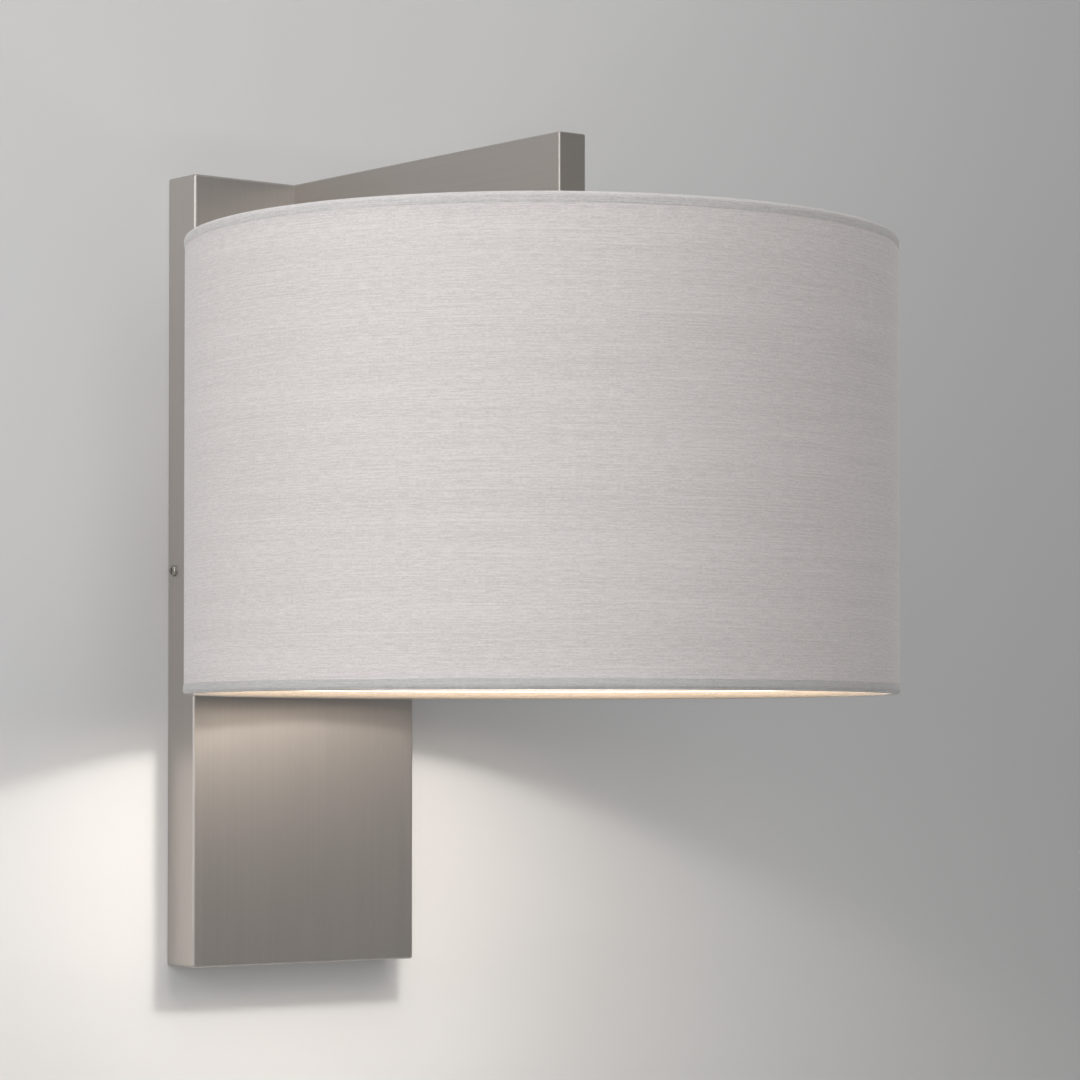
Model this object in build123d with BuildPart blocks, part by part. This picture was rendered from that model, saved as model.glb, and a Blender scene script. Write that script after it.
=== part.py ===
from build123d import *
from math import cos, degrees, pi, radians, sin, tan
import os

os.makedirs("parts", exist_ok=True)

# A wall light: a shallow folded back plate on a wall bracket, a flat box arm that runs
# straight out from the plate's top, and a drum shade hung under the arm's end.
# Frame: X to the right, +Z up, the wall is the plane Y = 0 and the room is at -Y.
# The origin is the middle of the wall fixing holes, at the middle of the back plate.

# ---------------------------------------------------------------- sizes (mm)

# Back plate, folded from sheet, open towards the wall
plate_width = 130.0
plate_height = 378.0
plate_depth = 22.0
plate_sheet = 1.5
plate_edge_radius = 1.2

# Wall bracket: a strap with a folded ear at each end
bracket_sheet = 1.5
bracket_width = 110.0
bracket_height = 116.0
bracket_corner_radius = 5.0
bracket_bend_radius = 1.4
ear_height = 34.0
ear_depth = 13.0
ear_clearance = 0.3
fixing_spacing_x = 88.0
fixing_spacing_z = 92.0
fixing_slot_length = 9.0
fixing_slot_width = 5.0

# Screws in the plate's two sides, into the bracket's ears
side_screw_setback = 5.0
side_screw_radius = 1.5
side_screw_length = 7.0
side_screw_head_radius = 2.6
side_screw_head_height = 1.7

# Cable bush, where the supply cable comes through the bracket
cable_bore_radius = 5.5
cable_bush_wall = 2.0
cable_bush_flange = 2.5
cable_bush_flange_thickness = 1.6
cable_entry_drop = 30.0

# Terminal block of three poles, on the bracket
pole_pitch = 10.0
pole_count = 3
block_height = 18.0
block_base_depth = 9.0
block_wall = 2.0
block_lift = 8.0
tower_radius = 3.3
tower_depth = 5.0
tunnel_radius = 2.5
tunnel_bore_radius = 1.5
tunnel_length = 14.0
clamp_screw_spacing = 8.0
clamp_screw_radius = 1.1
clamp_head_radius = 1.7
clamp_head_height = 1.4
block_screw_radius = 1.4
block_screw_head_radius = 2.4
block_screw_head_height = 1.6

# Arm: a box section, closed at its front end, its top level with the plate's top
arm_thickness = 15.0
arm_height = 40.0
arm_wall = 1.5
arm_nose = 22.0
arm_edge_radius = 0.8
arm_root_length = 14.0
arm_screw_spacing = 24.0
arm_screw_radius = 2.5
arm_screw_length = 16.0
arm_screw_head_radius = 4.4
arm_screw_head_height = 2.8
arm_washer_radius = 5.0
arm_washer_thickness = 1.0
arm_plate_width = 62.0
arm_plate_thickness = 3.0
arm_plate_side_gap = 1.0
wire_bush_radius = 4.6
wire_bush_bore_radius = 3.4
wire_bush_flange_radius = 5.8
wire_bush_flange_thickness = 1.2

# Stem: a threaded tube that carries the lamp holder under the arm
lamp_reach = 205.0
stem_radius = 4.95
stem_bore_radius = 3.6
stem_thread_block_height = 10.0
stem_thread_block_length = 24.0
stem_sleeve_radius = 8.0
stem_nut_width = 14.0
stem_nut_height = 3.0
stem_tail = 1.0
stem_chamfer = 0.5

# Lamp holder, hanging cap upwards
holder_radius = 22.0
holder_wall = 2.0
holder_cap_height = 26.0
holder_cap_side = 11.7
holder_cap_neck_radius = 9.5
holder_shoulder = 4.0
skirt_radius = 19.6
skirt_wall = 3.0
skirt_length = 30.0
insert_thickness = 5.5
insert_lap = 1.3
socket_depth = 27.0
screw_shell_radius = 13.3
screw_shell_sheet = 0.5
screw_shell_length = 22.0
contact_strip = 0.5
contact_width = 6.0
holder_terminal_spread = 8.0
holder_terminal_size = 6.0
holder_terminal_height = 5.0
holder_screw_radius = 1.3
holder_screw_head_radius = 2.2
holder_screw_head_height = 1.2

# Drum shade
shade_diameter = 320.0
shade_height = 203.0
shade_drop = 47.0
fabric_thickness = 0.5
lining_thickness = 0.4
hem_thickness = 0.35
hem_height = 4.5
hem_tuck = 9.0
hoop_wire_radius = 1.7
glue_line = 0.05
seam_angle = 86.0
seam_width = 9.0
seam_thickness = 0.4

# Shade's carrier: a fitter washer on three wire spokes, and the ring that clamps it
fitter_drop = 46.0
fitter_radius = 30.0
fitter_thickness = 1.6
spoke_count = 3
spoke_first_angle = 30.0
spoke_wire_radius = 1.6
spoke_weld = 0.4
spoke_level_run = 7.0
spoke_bend_radius = 9.0
spoke_foot_radius = 38.0
shade_ring_clearance = 0.3
shade_ring_radius = 28.5
shade_ring_collar_radius = 23.5
shade_ring_flange = 2.6
shade_ring_height = 9.0
grip_count = 24
grip_radius = 1.3

# Lamp with a screw cap and an opal globe
lamp_length = 110.0
lamp_radius = 30.0
globe_wall = 1.2
lamp_cap_radius = 13.0
lamp_cap_length = 22.0
lamp_cap_sheet = 0.4
lamp_insulator_height = 2.6
lamp_contact_radius = 4.3
lamp_contact_height = 0.8
collar_top_radius = 14.2
collar_wall = 1.2
collar_depth = 44.0
collar_waist_share = 0.42
led_board_margin = 1.6
led_board_thickness = 1.6
led_count = 10
led_ring_radius = 15.0
led_size = 2.8
led_height = 0.7

# Leads with a plastic sheath, and the earth connections
lead_radius = 1.1
lead_pair_offset = 1.6
lead_sway = 2.0
lead_straight = 6.0
crimp_inset = 1.0
earth_stud_radius = 2.0
earth_stud_length = 9.0
earth_nut_width = 7.0
earth_nut_height = 3.2
earth_tag_radius = 4.2
earth_tag_thickness = 0.8
earth_tag_barrel_length = 7.0
bracket_earth_x = -27.0
bracket_earth_z = 46.0
plate_earth_x = -22.0

fit_clearance = 0.05
free_clearance = 0.3
hole_clearance = 0.2

# ---------------------------------------------------------------- places worked out

plate_top = plate_height / 2
arm_reach = lamp_reach + arm_nose
plate_inside_depth = plate_depth - plate_sheet
arm_top = plate_top
arm_middle = arm_top - arm_height / 2
arm_bottom = arm_top - arm_height
arm_inside_thickness = arm_thickness - 2 * arm_wall
arm_inside_height = arm_height - 2 * arm_wall

shade_radius = shade_diameter / 2
shade_top = plate_top - shade_drop
shade_bottom = shade_top - shade_height
fabric_radius = shade_radius - hem_thickness - glue_line
lining_radius = fabric_radius - fabric_thickness - glue_line
lining_inner_radius = lining_radius - lining_thickness
hoop_radius = lining_inner_radius - glue_line - hoop_wire_radius
hoop_inset = hem_thickness + glue_line + hoop_wire_radius

shoulder_level = shade_top - fitter_drop
holder_top = shoulder_level + holder_shoulder
cap_top = holder_top + holder_cap_height
rim_level = shoulder_level - skirt_length
lamp_tip_level = rim_level + socket_depth
insert_level = lamp_tip_level + lamp_contact_height + free_clearance + contact_strip
skirt_bore_radius = skirt_radius - skirt_wall
stem_top = arm_bottom + arm_wall + stem_thread_block_height
stem_nut_top = cap_top - holder_wall
stem_bottom = stem_nut_top - stem_nut_height - stem_tail

lamp_cap_top = lamp_tip_level - lamp_contact_height - lamp_insulator_height
lamp_cap_bottom = lamp_cap_top - lamp_cap_length
globe_level = lamp_tip_level - lamp_length + lamp_radius
collar_bottom = lamp_cap_bottom - collar_depth
globe_neck_radius = (lamp_radius**2 - (collar_bottom - globe_level) ** 2) ** 0.5

# ---------------------------------------------------------------- planes and shared shapes

lamp_axis = Axis((0, -lamp_reach, 0), (0, 0, 1))
lamp_section = Plane(origin=(0, -lamp_reach, 0), x_dir=(1, 0, 0), z_dir=(0, -1, 0))


def off_wall(distance):
    """A plane parallel to the wall, this far out into the room, looking at the room."""
    return Plane.XZ.offset(distance)


def level(height):
    """A level plane at this height, centred on the lamp's axis."""
    return Plane(origin=(0, -lamp_reach, height), x_dir=(1, 0, 0), z_dir=(0, 0, 1))


def keep(piece, name):
    """Names a finished piece and writes its file."""
    piece.part.label = name
    export_step(piece.part, f"parts/{name}.step")


# ---------------------------------------------------------------- back plate and its bracket

side_screw_offset = -side_screw_setback
wire_hole_height = arm_middle

with BuildPart() as back_plate:
    with BuildSketch(Plane.XZ):
        Rectangle(plate_width, plate_height)
    extrude(amount=plate_depth)
    fillet(back_plate.edges().filter_by(Axis.Y), plate_edge_radius)
    fillet(back_plate.faces().sort_by(Axis.Y)[0].edges(), plate_edge_radius)
    with BuildSketch(Plane.XZ):
        Rectangle(plate_width - 2 * plate_sheet, plate_height - 2 * plate_sheet)
    extrude(amount=plate_inside_depth, mode=Mode.SUBTRACT)
    with BuildSketch(Plane.YZ):
        with Locations((side_screw_offset, 0)):
            Circle(side_screw_radius + hole_clearance)
    extrude(amount=plate_width, both=True, mode=Mode.SUBTRACT)
    with BuildSketch(off_wall(plate_inside_depth)):
        with Locations((0, wire_hole_height)):
            Circle(wire_bush_radius + fit_clearance)
            with GridLocations(0, arm_screw_spacing, 1, 2):
                Circle(arm_screw_radius + hole_clearance)
    extrude(amount=plate_sheet, mode=Mode.SUBTRACT)
keep(back_plate, "back_plate")

ear_span = plate_width - 2 * plate_sheet - 2 * ear_clearance
terminal_height = block_lift

with BuildPart() as wall_bracket:
    with BuildSketch(Plane.XZ):
        RectangleRounded(bracket_width, bracket_height, bracket_corner_radius)
        Rectangle(ear_span, ear_height)
    extrude(amount=bracket_sheet)
    with BuildSketch(Plane.XZ):
        Rectangle(ear_span, ear_height)
        Rectangle(ear_span - 2 * bracket_sheet, ear_height, mode=Mode.SUBTRACT)
    extrude(amount=ear_depth)
    bends = wall_bracket.faces().sort_by(Axis.Y)[-1].edges().filter_by(Axis.Z)
    fillet(bends.group_by(Axis.X)[0] + bends.group_by(Axis.X)[-1], bracket_bend_radius)
    with BuildSketch(Plane.XZ):
        with GridLocations(fixing_spacing_x, fixing_spacing_z, 2, 2):
            SlotOverall(fixing_slot_length, fixing_slot_width)
        with Locations((0, -cable_entry_drop)):
            Circle(cable_bore_radius + cable_bush_wall + fit_clearance)
        with Locations((0, terminal_height)):
            with GridLocations(pole_pitch, 0, pole_count - 1, 1):
                Circle(block_screw_radius + fit_clearance)
        with Locations((bracket_earth_x, bracket_earth_z)):
            Circle(earth_stud_radius + fit_clearance)
    extrude(amount=bracket_sheet, mode=Mode.SUBTRACT)
    with BuildSketch(Plane.YZ):
        with Locations((side_screw_offset, 0)):
            Circle(side_screw_radius + fit_clearance)
    extrude(amount=plate_width, both=True, mode=Mode.SUBTRACT)
keep(wall_bracket, "wall_bracket")

# A pan-head screw on each side, its cross recess cut a little way into the head
recess_width = 0.8
recess_depth = 0.9
recess_length = 1.2 * side_screw_head_radius
screw_seat = plate_width / 2

with BuildPart() as cover_screws:
    for side in (1, -1):
        outward = Plane(
            origin=(side * screw_seat, side_screw_offset, 0), x_dir=(0, 1, 0), z_dir=(side, 0, 0)
        )
        with BuildSketch(outward):
            Circle(side_screw_head_radius)
        extrude(amount=side_screw_head_height)
        crown = cover_screws.edges().filter_by(GeomType.CIRCLE).sort_by(Axis.X)
        fillet(crown[-1] if side > 0 else crown[0], side_screw_head_height / 2)
        with BuildSketch(outward):
            Circle(side_screw_radius)
        extrude(amount=-side_screw_length)
        with BuildSketch(outward.offset(side_screw_head_height)):
            Rectangle(recess_length, recess_width)
            Rectangle(recess_width, recess_length)
        extrude(amount=-recess_depth, mode=Mode.SUBTRACT)
keep(cover_screws, "cover_screws")

# Push-in bush that keeps the cable off the sheet's edge
with BuildPart() as cable_bush:
    with BuildSketch(Plane.XZ):
        with Locations((0, -cable_entry_drop)):
            Circle(cable_bore_radius + cable_bush_wall)
    extrude(amount=bracket_sheet)
    with BuildSketch(off_wall(bracket_sheet)):
        with Locations((0, -cable_entry_drop)):
            Circle(cable_bore_radius + cable_bush_wall + cable_bush_flange)
    extrude(amount=cable_bush_flange_thickness)
    rim_edges = cable_bush.faces().sort_by(Axis.Y)[0].edges()
    fillet(rim_edges, cable_bush_flange_thickness / 3)
    with BuildSketch(Plane.XZ):
        with Locations((0, -cable_entry_drop)):
            Circle(cable_bore_radius)
    extrude(amount=bracket_sheet + cable_bush_flange_thickness, mode=Mode.SUBTRACT)
keep(cable_bush, "cable_bush")

# ---------------------------------------------------------------- terminal block

block_width = pole_count * pole_pitch
tunnel_depth = bracket_sheet + block_base_depth / 2
block_front = bracket_sheet + block_base_depth
tower_front = block_front + tower_depth
clamp_tip_depth = tunnel_depth + lead_radius + free_clearance
clamp_head_depth = tower_front - clamp_head_height - free_clearance

with BuildPart() as terminal_block:
    with BuildSketch(off_wall(bracket_sheet)):
        with Locations((0, terminal_height)):
            RectangleRounded(block_width, block_height, block_wall / 2)
    extrude(amount=block_base_depth)
    with BuildSketch(off_wall(block_front)):
        with Locations((0, terminal_height)):
            with GridLocations(pole_pitch, clamp_screw_spacing, pole_count, 2):
                Circle(tower_radius)
    extrude(amount=tower_depth)
    with BuildSketch(off_wall(tunnel_depth)):
        with Locations((0, terminal_height)):
            with GridLocations(pole_pitch, clamp_screw_spacing, pole_count, 2):
                Circle(clamp_head_radius + fit_clearance)
    extrude(amount=tower_front - tunnel_depth, mode=Mode.SUBTRACT)
    with BuildSketch(Plane.XY.offset(terminal_height)):
        with Locations((0, -tunnel_depth)):
            with GridLocations(pole_pitch, 0, pole_count, 1):
                Circle(tunnel_radius + fit_clearance)
    extrude(amount=block_height / 2, both=True, mode=Mode.SUBTRACT)
    with BuildSketch(off_wall(bracket_sheet)):
        with Locations((0, terminal_height)):
            with GridLocations(pole_pitch, 0, pole_count - 1, 1):
                Circle(block_screw_radius + fit_clearance)
    extrude(amount=block_base_depth, mode=Mode.SUBTRACT)
keep(terminal_block, "terminal_block")

with BuildPart() as terminal_tunnels:
    with BuildSketch(Plane.XY.offset(terminal_height)):
        with Locations((0, -tunnel_depth)):
            with GridLocations(pole_pitch, 0, pole_count, 1):
                Circle(tunnel_radius)
                Circle(tunnel_bore_radius, mode=Mode.SUBTRACT)
    extrude(amount=tunnel_length / 2, both=True)
    with BuildSketch(off_wall(tunnel_depth)):
        with Locations((0, terminal_height)):
            with GridLocations(pole_pitch, clamp_screw_spacing, pole_count, 2):
                Circle(clamp_screw_radius + fit_clearance)
    extrude(amount=tunnel_radius, mode=Mode.SUBTRACT)
keep(terminal_tunnels, "terminal_tunnels")

slot_share = 0.5
with BuildPart() as terminal_screws:
    with BuildSketch(off_wall(clamp_tip_depth)):
        with Locations((0, terminal_height)):
            with GridLocations(pole_pitch, clamp_screw_spacing, pole_count, 2):
                Circle(clamp_screw_radius)
    extrude(amount=clamp_head_depth - clamp_tip_depth)
    with BuildSketch(off_wall(clamp_head_depth)):
        with Locations((0, terminal_height)):
            with GridLocations(pole_pitch, clamp_screw_spacing, pole_count, 2):
                Circle(clamp_head_radius)
    extrude(amount=clamp_head_height)
    with BuildSketch(off_wall(clamp_head_depth + clamp_head_height * slot_share)):
        with Locations((0, terminal_height)):
            with GridLocations(pole_pitch, clamp_screw_spacing, pole_count, 2):
                Rectangle(2 * clamp_head_radius, clamp_screw_radius / 2)
    extrude(amount=clamp_head_height, mode=Mode.SUBTRACT)
keep(terminal_screws, "terminal_screws")

with BuildPart() as terminal_block_screws:
    with BuildSketch(Plane.XZ):
        with Locations((0, terminal_height)):
            with GridLocations(pole_pitch, 0, pole_count - 1, 1):
                Circle(block_screw_radius)
    extrude(amount=block_front)
    with BuildSketch(off_wall(block_front)):
        with Locations((0, terminal_height)):
            with GridLocations(pole_pitch, 0, pole_count - 1, 1):
                Circle(block_screw_head_radius)
    extrude(amount=block_screw_head_height)
    with BuildSketch(off_wall(block_front + block_screw_head_height * slot_share)):
        with Locations((0, terminal_height)):
            with GridLocations(pole_pitch, 0, pole_count - 1, 1):
                Rectangle(2 * block_screw_head_radius, block_screw_radius / 2)
    extrude(amount=block_screw_head_height, mode=Mode.SUBTRACT)
keep(terminal_block_screws, "terminal_block_screws")

# ---------------------------------------------------------------- arm

arm_plate_height = arm_height - plate_sheet - arm_plate_side_gap
arm_plate_middle = plate_top - plate_sheet - arm_plate_side_gap - arm_plate_height / 2
arm_plate_back = plate_inside_depth - arm_plate_thickness
washer_back = arm_plate_back - arm_washer_thickness
arm_length = arm_reach - plate_depth

with BuildPart() as arm:
    with BuildSketch(off_wall(plate_depth)):
        with Locations((0, arm_middle)):
            Rectangle(arm_thickness, arm_height)
    extrude(amount=arm_length)
    fillet(arm.edges().filter_by(Axis.Y), arm_edge_radius)
    fillet(arm.faces().sort_by(Axis.Y)[0].edges(), arm_edge_radius)
    with BuildSketch(off_wall(plate_depth)):
        with Locations((0, arm_middle)):
            Rectangle(arm_inside_thickness, arm_inside_height)
    extrude(amount=arm_length - arm_wall, mode=Mode.SUBTRACT)
    with BuildSketch(level(arm_bottom)):
        Circle(stem_radius + hole_clearance)
    extrude(amount=arm_wall, mode=Mode.SUBTRACT)
keep(arm, "arm")

# Block welded into the arm's root, tapped for the two arm screws
with BuildPart() as arm_root_block:
    with BuildSketch(off_wall(plate_depth)):
        with Locations((0, arm_middle)):
            Rectangle(arm_inside_thickness - 2 * fit_clearance, arm_inside_height - 2 * fit_clearance)
            Circle(wire_bush_radius + fit_clearance, mode=Mode.SUBTRACT)
            with GridLocations(0, arm_screw_spacing, 1, 2):
                Circle(arm_screw_radius + fit_clearance, mode=Mode.SUBTRACT)
    extrude(amount=arm_root_length)
keep(arm_root_block, "arm_root_block")

# Stiffening plate inside the back plate, behind the arm
with BuildPart() as arm_mounting_plate:
    with BuildSketch(off_wall(arm_plate_back)):
        with Locations((0, arm_plate_middle)):
            RectangleRounded(arm_plate_width, arm_plate_height, arm_plate_side_gap)
        with Locations((0, arm_middle)):
            Circle(wire_bush_radius + fit_clearance, mode=Mode.SUBTRACT)
            with GridLocations(0, arm_screw_spacing, 1, 2):
                Circle(arm_screw_radius + hole_clearance, mode=Mode.SUBTRACT)
        with Locations((plate_earth_x, arm_middle)):
            Circle(earth_stud_radius + fit_clearance, mode=Mode.SUBTRACT)
    extrude(amount=arm_plate_thickness)
keep(arm_mounting_plate, "arm_mounting_plate")

with BuildPart() as arm_washers:
    with BuildSketch(off_wall(washer_back)):
        with Locations((0, arm_middle)):
            with GridLocations(0, arm_screw_spacing, 1, 2):
                Circle(arm_washer_radius)
                Circle(arm_screw_radius + hole_clearance, mode=Mode.SUBTRACT)
    extrude(amount=arm_washer_thickness)
keep(arm_washers, "arm_washers")

# Two socket-head screws from inside the back plate into the arm's root
socket_key_radius = arm_screw_head_radius / 2
with BuildPart() as arm_screws:
    with BuildSketch(off_wall(washer_back)):
        with Locations((0, arm_middle)):
            with GridLocations(0, arm_screw_spacing, 1, 2):
                Circle(arm_screw_radius)
    extrude(amount=arm_screw_length)
    with BuildSketch(off_wall(washer_back - arm_screw_head_height)):
        with Locations((0, arm_middle)):
            with GridLocations(0, arm_screw_spacing, 1, 2):
                Circle(arm_screw_head_radius)
    extrude(amount=arm_screw_head_height)
    with BuildSketch(off_wall(washer_back - arm_screw_head_height)):
        with Locations((0, arm_middle)):
            with GridLocations(0, arm_screw_spacing, 1, 2):
                RegularPolygon(socket_key_radius, 6)
    extrude(amount=arm_screw_head_height * slot_share, mode=Mode.SUBTRACT)
keep(arm_screws, "arm_screws")

# Plastic bush that lines the wire way from the back plate into the arm
wire_bush_length = arm_plate_thickness + plate_sheet + arm_root_length
with BuildPart() as wire_bush:
    with BuildSketch(off_wall(arm_plate_back)):
        with Locations((0, arm_middle)):
            Circle(wire_bush_radius)
    extrude(amount=wire_bush_length)
    with BuildSketch(off_wall(arm_plate_back - wire_bush_flange_thickness)):
        with Locations((0, arm_middle)):
            Circle(wire_bush_flange_radius)
    extrude(amount=wire_bush_flange_thickness)
    with BuildSketch(off_wall(arm_plate_back - wire_bush_flange_thickness)):
        with Locations((0, arm_middle)):
            Circle(wire_bush_bore_radius)
    extrude(amount=wire_bush_length + wire_bush_flange_thickness, mode=Mode.SUBTRACT)
    mouth = wire_bush.faces().sort_by(Axis.Y)[-1].edges()
    fillet(mouth, wire_bush_flange_thickness / 3)
keep(wire_bush, "wire_bush")

# ---------------------------------------------------------------- stem under the arm

with BuildPart() as stem_thread_block:
    with BuildSketch(level(arm_bottom + arm_wall)):
        Rectangle(arm_inside_thickness - 2 * fit_clearance, stem_thread_block_length)
        Circle(stem_radius + fit_clearance, mode=Mode.SUBTRACT)
    extrude(amount=stem_thread_block_height)
keep(stem_thread_block, "stem_thread_block")

with BuildPart() as stem:
    with BuildSketch(level(stem_bottom)):
        Circle(stem_radius)
        Circle(stem_bore_radius, mode=Mode.SUBTRACT)
    extrude(amount=stem_top - stem_bottom)
    chamfer(stem.faces().sort_by(Axis.Z)[0].edges().sort_by(SortBy.RADIUS)[-1], stem_chamfer)
keep(stem, "stem")

with BuildPart() as stem_sleeve:
    with BuildSketch(level(cap_top)):
        Circle(stem_sleeve_radius)
        Circle(stem_radius + hole_clearance, mode=Mode.SUBTRACT)
    extrude(amount=arm_bottom - cap_top)
    chamfer(stem_sleeve.edges().filter_by(GeomType.CIRCLE).group_by(SortBy.RADIUS)[-1], stem_chamfer)
keep(stem_sleeve, "stem_sleeve")

with BuildPart() as stem_nut:
    with BuildSketch(level(stem_nut_top - stem_nut_height)):
        RegularPolygon(stem_nut_width / 2, 6, major_radius=False)
        Circle(stem_radius + fit_clearance, mode=Mode.SUBTRACT)
    extrude(amount=stem_nut_height)
keep(stem_nut, "stem_nut")

# ---------------------------------------------------------------- lamp holder

cap_bend_level = holder_top + holder_cap_side
nut_corner_radius = stem_nut_width / 2 / cos(radians(30))
cap_inner_neck_radius = nut_corner_radius + 2 * free_clearance
with BuildPart() as holder_cap:
    with BuildSketch(lamp_section):
        with BuildLine():
            Polyline(
                (stem_radius + hole_clearance, cap_top),
                (holder_cap_neck_radius, cap_top),
                (holder_cap_neck_radius, cap_top - holder_wall),
            )
            Line((holder_cap_neck_radius, cap_top - holder_wall), (holder_radius, cap_bend_level))
            Line((holder_radius, cap_bend_level), (holder_radius, holder_top))
            Line((holder_radius, holder_top), (holder_radius - holder_wall, holder_top))
            Line(
                (holder_radius - holder_wall, holder_top),
                (holder_radius - holder_wall, cap_bend_level - holder_wall / 2),
            )
            Polyline(
                (holder_radius - holder_wall, cap_bend_level - holder_wall / 2),
                (cap_inner_neck_radius, cap_top - holder_wall),
                (stem_radius + hole_clearance, cap_top - holder_wall),
                (stem_radius + hole_clearance, cap_top),
            )
        make_face()
    revolve(axis=lamp_axis)
    widest = holder_cap.edges().filter_by(GeomType.CIRCLE).filter_by_position(
        Axis.Z, cap_bend_level - 0.01, cap_bend_level + 0.01
    )
    fillet(widest, holder_wall)
keep(holder_cap, "holder_cap")

with BuildPart() as holder_body:
    with BuildSketch(lamp_section):
        with BuildLine():
            Polyline(
                (skirt_bore_radius, rim_level),
                (skirt_radius, rim_level),
                (skirt_radius, shoulder_level),
                (holder_radius, shoulder_level),
                (holder_radius, holder_top),
                (skirt_bore_radius + insert_lap, holder_top),
                (skirt_bore_radius + insert_lap, insert_level),
                (skirt_bore_radius, insert_level),
                close=True,
            )
        make_face()
    revolve(axis=lamp_axis)
    rim_corners = holder_body.edges().filter_by(GeomType.CIRCLE).group_by(Axis.Z)[0]
    fillet(rim_corners, skirt_wall / 4)
keep(holder_body, "holder_body")

insert_top = insert_level + insert_thickness
with BuildPart() as holder_insert:
    with BuildSketch(level(insert_level)):
        Circle(skirt_bore_radius + insert_lap - fit_clearance)
    extrude(amount=insert_thickness)
    chamfer(holder_insert.faces().sort_by(Axis.Z)[-1].edges(), insert_lap / 2)
    with BuildSketch(level(insert_top)):
        with GridLocations(2 * holder_terminal_spread, 0, 2, 1):
            Circle(holder_screw_radius)
    extrude(amount=-insert_thickness * slot_share, mode=Mode.SUBTRACT)
keep(holder_insert, "holder_insert")

with BuildPart() as holder_screw_shell:
    with BuildSketch(level(insert_level - screw_shell_length)):
        Circle(screw_shell_radius + screw_shell_sheet)
        Circle(screw_shell_radius, mode=Mode.SUBTRACT)
    extrude(amount=screw_shell_length)
keep(holder_screw_shell, "holder_screw_shell")

# Springy strip that presses on the lamp's tip
contact_level = lamp_tip_level + free_clearance
strip_end = lamp_contact_radius
strip_root = screw_shell_radius - 2 * free_clearance
strip_bend = strip_root * 0.7
with BuildPart() as holder_centre_contact:
    with BuildSketch(lamp_section):
        with BuildLine():
            Polyline(
                (-strip_root, insert_level),
                (-strip_bend, insert_level),
                (-strip_end, contact_level + contact_strip),
                (strip_end, contact_level + contact_strip),
                (strip_end, contact_level),
                (-strip_end - contact_strip, contact_level),
                (-strip_bend - contact_strip, insert_level - contact_strip),
                (-strip_root, insert_level - contact_strip),
                close=True,
            )
        make_face()
    extrude(amount=contact_width / 2, both=True)
keep(holder_centre_contact, "holder_centre_contact")

# A brass clamp for each lead, with its screw from the front
terminal_top = insert_top + holder_terminal_height
terminal_lead_depth = 3.0
terminal_screw_level = insert_top + holder_terminal_height / 2
with BuildPart() as holder_terminals:
    with BuildSketch(level(insert_top)):
        with GridLocations(2 * holder_terminal_spread, 0, 2, 1):
            Rectangle(holder_terminal_size, holder_terminal_size)
    extrude(amount=holder_terminal_height)
    with BuildSketch(level(terminal_top)):
        with GridLocations(2 * holder_terminal_spread, 0, 2, 1):
            Circle(lead_radius + hole_clearance)
    extrude(amount=-terminal_lead_depth - free_clearance, mode=Mode.SUBTRACT)
    with BuildSketch(off_wall(lamp_reach)):
        with Locations((0, terminal_screw_level)):
            with GridLocations(2 * holder_terminal_spread, 0, 2, 1):
                Circle(holder_screw_radius + fit_clearance)
    extrude(amount=holder_terminal_size, mode=Mode.SUBTRACT)
keep(holder_terminals, "holder_terminals")

with BuildPart() as holder_terminal_screws:
    with BuildSketch(off_wall(lamp_reach + lead_radius + free_clearance)):
        with Locations((0, terminal_screw_level)):
            with GridLocations(2 * holder_terminal_spread, 0, 2, 1):
                Circle(holder_screw_radius)
    extrude(amount=holder_terminal_size / 2 - lead_radius)
    with BuildSketch(off_wall(lamp_reach + holder_terminal_size / 2 + free_clearance)):
        with Locations((0, terminal_screw_level)):
            with GridLocations(2 * holder_terminal_spread, 0, 2, 1):
                Circle(holder_screw_head_radius)
    extrude(amount=holder_screw_head_height)
keep(holder_terminal_screws, "holder_terminal_screws")

# ---------------------------------------------------------------- shade ring

shade_ring_top = shoulder_level - fitter_thickness
with BuildPart() as shade_ring:
    with BuildSketch(level(shade_ring_top - shade_ring_flange)):
        Circle(shade_ring_radius)
        with PolarLocations(shade_ring_radius + grip_radius / 2, grip_count):
            Circle(grip_radius, mode=Mode.SUBTRACT)
    extrude(amount=shade_ring_flange)
    with BuildSketch(level(shade_ring_top - shade_ring_height)):
        Circle(shade_ring_collar_radius)
    extrude(amount=shade_ring_height)
    with BuildSketch(level(shade_ring_top - shade_ring_height)):
        Circle(skirt_radius + shade_ring_clearance)
    extrude(amount=shade_ring_height, mode=Mode.SUBTRACT)
keep(shade_ring, "shade_ring")

# ---------------------------------------------------------------- drum shade

top_hoop_level = shade_top - hoop_inset
bottom_hoop_level = shade_bottom + hoop_inset
spoke_foot_level = shoulder_level + spoke_wire_radius - spoke_weld
spoke_reach = hoop_radius - hoop_wire_radius + spoke_weld
spoke_elbow = spoke_reach - spoke_level_run

with BuildPart() as shade_fitter:
    with BuildSketch(level(shoulder_level - fitter_thickness)):
        Circle(fitter_radius)
        Circle(skirt_radius + shade_ring_clearance, mode=Mode.SUBTRACT)
    extrude(amount=fitter_thickness)
keep(shade_fitter, "shade_fitter")

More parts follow.
